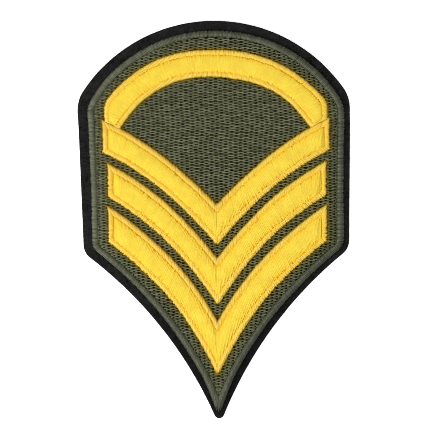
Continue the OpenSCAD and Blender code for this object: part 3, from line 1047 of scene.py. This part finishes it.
# Satin bands. These values hold where a band has none of its own: how far it spills over its outline,
# how much painted shade its threads take by heading and how much of that each end takes, and how much
# painted shade lies in the groove at its inner ends by heading, from this share of their length on
plainBand = {"spill": 0, "sideShade": [(0, 0)], "sideShadeAlong": (1, 1), "groove": [(0, 0)], "grooveShadeFrom": 0.8}
# where two gold edgings meet, their threads are drawn in and lie higher, and a thin seam of painted
# shade runs between them
seamForm = {
    "reach": 0.8, "draw": 0.17, "drop": 0.3, "span": 0.4,
    "shade": 0.75, "shadeEnd": 0.3, "shadeOver": 0.15,
}


def buildBand(name, outlineAt, form, finish, under, node, beside=None):
    # threads laid from an outline across to the same one further in; beside is an outline it meets
    rng = np.random.default_rng(form["seed"])
    start, end = stations(outlineAt(-form["spill"]), outlineAt(form["width"]), form, rng)
    meets = np.zeros((len(start), 1))
    if beside is not None:
        meets = nearness([beside], start, seamForm["reach"])[:, None]
    inward = (end - start) / np.linalg.norm(end - start, axis=1, keepdims=True)
    start = start + inward * meets * seamForm["draw"]

    def rise(share, flat):
        outer = form["outerZ"] + meets * (form["innerZ"] - seamForm["drop"] - form["outerZ"])
        foot = outer + (form["innerZ"] - outer) * share
        return foot + (form["crest"] - foot) * dome(share, form["power"])

    made = layAcross(start, end, form, rise, rng, finish)
    heading = np.degrees(np.arctan2(start[:, 1] - end[:, 1], start[:, 0] - end[:, 0])) % 360
    share = made["span"].reshape(len(start), -1)
    outerSideShade, innerSideShade = form["sideShadeAlong"]
    grooveShade = np.clip((share - form["grooveShadeFrom"]) / (1 - form["grooveShadeFrom"]), 0, 1)
    seamed = np.clip((seamForm["shadeEnd"] - share) / seamForm["shadeOver"], 0, 1)
    # painted shade: by heading on the sides turned from the light, in the groove at the inner ends, and
    # along a seam
    shade = readOff(form["sideShade"], heading)[:, None] * (outerSideShade + (innerSideShade - outerSideShade) * share)
    shade += readOff(form["groove"], heading)[:, None] * grooveShade + meets * seamForm["shade"] * seamed
    made["shade"] = np.clip(shade, 0, 1).reshape(-1)
    # at a seam the ends don't sink into the ground, so less of their painted end shade shows
    made["span"] = (share + (1 - share) * meets * seamForm["span"]).reshape(-1)
    low = min(form["outerZ"], form["innerZ"]) - padForm["drop"]
    pad = bandUnder(outlineAt, form["width"], low, form["crest"] - form["halfHeight"], under)
    addPiece(name, [made, pad], node)
    print("patch:", name, len(start))


# Satin edging round the ground
groundSatinForm = {
    **plainBand, "width": 1.92, "pitch": 0.38, "rings": 8, "seed": 21,
    "halfWidth": 0.24, "endWidth": 0.45, "halfHeight": 0.12,
    "ragged": (0.06, 0.03), "bow": 0.03, "uneven": 0.028, "wobble": 0.08,
    "outerZ": 1.5, "crest": 2.75, "innerZ": 1.98, "power": 2.0,
    # painted shade by heading on the sides turned from the light, and in the groove at the inner ends
    "sideShade": [(0, 0.26), (45, 0.28), (90, 0.33), (135, 0), (200, 0), (230, 0.08), (270, 0.35),
             (320, 0.42), (360, 0.26)],
    "sideShadeAlong": (2.8, 0.3),
    "groove": [(0, 0.35), (45, 0.6), (90, 1.0), (135, 0.9), (180, 0), (230, 0.4), (320, 0.6),
               (360, 0.35)],
}
buildBand("ground_satin", groundOutline, groundSatinForm, oliveSatin, satinUnder,
          "ground_edging")

# Gold edgings
goldSatinForm = {
    **plainBand, "width": 1.62, "spill": 0.14, "pitch": 0.37, "rings": 8, "seed": 31,
    "halfWidth": 0.235, "endWidth": 0.5, "halfHeight": 0.075,
    "ragged": (0.05, 0.1), "bow": 0.02, "uneven": 0.015, "wobble": 0.1,
    "outerZ": 2.1, "crest": 3.14, "innerZ": 2.98, "power": 2.4,
}
chevronSatinForm = {
    **goldSatinForm, "seed": 32,
    "ragged": (0.11, 0.11), "bow": 0.03, "uneven": 0.025, "wobble": 0.12,
    # painted shade on the edgings' sides turned from the light
    "sideShade": [(82, 0), (94, 0.28), (122, 0.28), (150, 0)], "sideShadeAlong": (1.3, 0.4),
}


def buildGoldEdging(name, outlineAt, form, beside=None):
    buildBand(name + "_satin", outlineAt, form, goldSatin, goldUnder,
              name + "_edging", beside)


buildGoldEdging("arch", archOutline, goldSatinForm, chevronOutline("upper", 0))
for offset, row in enumerate(chevrons):
    form = {**chevronSatinForm, "seed": chevronSatinForm["seed"] + offset}
    buildGoldEdging("chevron_" + row, partial(chevronOutline, row), form,
                    archOutline(0) if row == "upper" else None)

# Padded gold fills
goldFillForm = {
    "pitch": 0.36, "halfWidth": 0.29, "endWidth": 0.8, "halfHeight": 0.029, "rings": 10, "seed": 41,
    "ragged": (0.11, 0.1), "bow": 0.015, "uneven": 0.004,
    # where its threads start and end, inside the outline, an end and the arch's foot
    "inset": 1.46, "endInset": 1.76, "footInset": 0.25,
    "groove": 2.98, "crest": 3.36, "power": 2.1, "slant": 1.2, "middleGap": 0.02,
    "endFall": 1.9, "endLow": 0.25, "crease": 0.14, "creaseWidth": 0.45, "creaseReach": 1.25,
    "plateInset": 1.1, "plate": 2.93, "plateSteps": 40,
    "spots": 0.26,  # how many of its threads show a needle hole at an end, as a spot of painted shade
    "spotShade": (0.15, 0.7), "spotReach": 0.05,
}
stripForm = {"margin": 0.03, "points": 9, "foot": 2.3, "drop": 1.3}  # the padding under its threads


def fillRise(form, endGap, seamGap):
    # the padding's height: it falls away at the ends, and along the seam in the middle
    ends = dome(np.clip(endGap / form["endFall"], 0, 1) / 2, form["power"])[:, None]
    seam = np.exp(-((seamGap / form["creaseWidth"]) ** 2))[:, None]

    def rise(share, flat):
        high = (form["crest"] - form["groove"]) * (form["endLow"] + (1 - form["endLow"]) * ends)
        fold = form["crease"] * seam * np.clip(form["creaseReach"] - share, 0, 1)
        return form["groove"] + high * dome(share, form["power"]) - fold * np.sin(np.pi * share)

    return rise


# painted shade of needle holes at the ends of some threads
def endSpots(made, form, count, rng):
    share = made["span"].reshape(count, -1)
    spotted = rng.random((2, count, 1)) < form["spots"]
    first, last = spotted * rng.uniform(*form["spotShade"], (2, count, 1))
    near = form["spotReach"]
    return np.where(share < near, first, np.where(share > 1 - near, last, 0)).reshape(-1)


def padUnder(start, end, rise, drop):
    # the padding: a solid strip that reaches a little below the threads
    share = np.linspace(stripForm["margin"], 1 - stripForm["margin"], stripForm["points"])[None, :]
    flat = start[:, None] + (end - start)[:, None] * share[..., None]
    top = rise(share, flat) - drop
    count, wide = len(start), share.size
    upper = np.concatenate([flat, np.broadcast_to(top, (count, wide))[..., None]], axis=2)
    lower = np.concatenate([flat, np.full((count, wide, 1), stripForm["foot"])], axis=2)
    sheets = np.concatenate([upper.reshape(-1, 3), lower.reshape(-1, 3)])
    grid = np.arange(count * wide).reshape(count, wide)
    quads = np.stack([grid[:-1, :-1], grid[1:, :-1], grid[1:, 1:], grid[:-1, 1:]], -1).reshape(-1, 4)
    rim = np.concatenate([grid[:-1, 0], grid[-1, :-1], grid[:0:-1, -1], grid[0, :0:-1]])
    nextRim = np.roll(rim, -1)
    low = count * wide
    faces = quads.tolist() + (quads[:, ::-1] + low).tolist()
    faces += np.column_stack([rim, rim + low, nextRim + low, nextRim]).tolist()
    return part(onFelt(sheets), faces, goldUnder)


def archFillSpan(u, plate):
    # pairs of points on the outer and the inner edge of the right half, u from the crown to the
    # foot, for the threads or for the plate under them
    form = goldFillForm
    inset = form["plateInset"] if plate else form["inset"]
    short = 0 if plate else form["footInset"]
    outerEdge, footEdge, innerEdge = archEdges(inset)
    pairs = []
    for line in (outerEdge, innerEdge):
        length = lengthAlong(line)
        pairs.append(pointsAt(line, length, u * (length[-1] - short)))
    return pairs


def chevronFillSpan(row, u, plate):
    # the same on the top and the lower edge of the right arm, u from the middle to the end
    form = goldFillForm
    inset, endInset = (form["plateInset"],) * 2 if plate else (form["inset"], form["endInset"])
    wide = chevrons[row]["halfWidth"] - endInset
    top, low = chevronEdges(row, inset)
    lean = (0 if plate else form["slant"]) * np.sin(np.pi * u)
    xTop, xLow = np.maximum(wide * u - lean, form["middleGap"]), np.minimum(wide * u + lean, wide)
    start = np.column_stack([xTop, np.interp(xTop, top[:, 0], top[:, 1])])
    return start, np.column_stack([xLow, np.interp(xLow, low[:, 0], low[:, 1])])


def buildFill(name, spanAt, wide, form, settle, seamed):
    # spanAt gives both edges of the right half, and settle puts in their unevenness
    rng = np.random.default_rng(form["seed"])
    count = round(wide / form["pitch"])
    u = (np.arange(count) + 0.5) / count
    plateU = np.linspace(0, 1, form["plateSteps"])
    rise = fillRise(form, wide * (1 - u), wide * u if seamed else np.full(count, np.inf))
    parts = []
    for side in (1, -1):
        start, end = [settle(p * [side, 1]) for p in spanAt(u, False)]
        made = layAcross(start, end, form, rise, rng, goldThread)
        made["shade"] = endSpots(made, form, count, rng)
        pad = padUnder(start, end, rise, form["halfHeight"] * stripForm["drop"])
        start, end = [settle(p * [side, 1])[::side] for p in spanAt(plateU, True)]
        parts += [made, pad, padUnder(start, end, lambda share, flat: form["plate"], 0)]
    piece = addPiece(name + "_padding", parts, name + "_fill")
    print("patch:", name, count * 2)


buildFill("arch", archFillSpan, archCut["run"], goldFillForm, archLeaned, False)
for offset, row in enumerate(chevrons, 1):
    form = {**goldFillForm, "seed": goldFillForm["seed"] + offset}
    wide = chevrons[row]["halfWidth"] - form["endInset"]
    buildFill("chevron_" + row, partial(chevronFillSpan, row), wide, form, partial(trued, row), True)
print("patch: stitching laid")

# Floor and light
studio = {
    "floorColour": 0.9, "floorRoughness": 0.9, "floorGloss": 0.1, "floorGlow": 0.6, "floorSize": 4.0,
    "floorDrop": 0.05, "sky": 0.42, "pixelWidth": 0.8,
    "lamps": {  # power, size and place in metres
        "key": (6.6, 0.5, (-0.72, -0.2, 0.5)),
        "foot": (2.6, 0.7, (0.05, -0.8, 0.6)),
        "top": (2.8, 1.0, (0.1, 0.1, 1.1)),
    },
}


def addLight(name, power, size, place):
    lamp = bpy.data.lights.new(name, "AREA")
    lamp.energy, lamp.size = power, size
    light = bpy.data.objects.new(name, lamp)
    light.location = place
    light.rotation_euler = (-light.location).to_track_quat("-Z", "Y").to_euler()
    bpy.context.collection.objects.link(light)


def addStudio(look):
    half = look["floorSize"] / 2
    mesh = bpy.data.meshes.new("floor")
    mesh.from_pydata([(-half, -half, 0), (half, -half, 0), (half, half, 0), (-half, half, 0)], [],
                     [(0, 1, 2, 3)])
    floor = bpy.data.objects.new("floor", mesh)
    floor.location.z = -look["floorDrop"] * mm
    paper = Finish("paper", {
        "Roughness": look["floorRoughness"], "Specular IOR Level": look["floorGloss"],
        "Emission Color": (1, 1, 1), "Emission Strength": look["floorGlow"],
    })
    mesh.materials.append(paper.shade([look["floorColour"]] * 3))
    bpy.context.collection.objects.link(floor)
    for name, (power, size, place) in look["lamps"].items():
        addLight(name, power, size, place)
    world = bpy.data.worlds.new("studio")
    world.use_nodes = True
    world.node_tree.nodes["Background"].inputs["Color"].default_value = (1, 1, 1, 1)
    world.node_tree.nodes["Background"].inputs["Strength"].default_value = look["sky"]
    bpy.context.scene.world = world
    bpy.context.scene.view_settings.view_transform = "Standard"
    bpy.context.scene.cycles.filter_width = look["pixelWidth"]


addStudio(studio)
print("patch: studio lit")
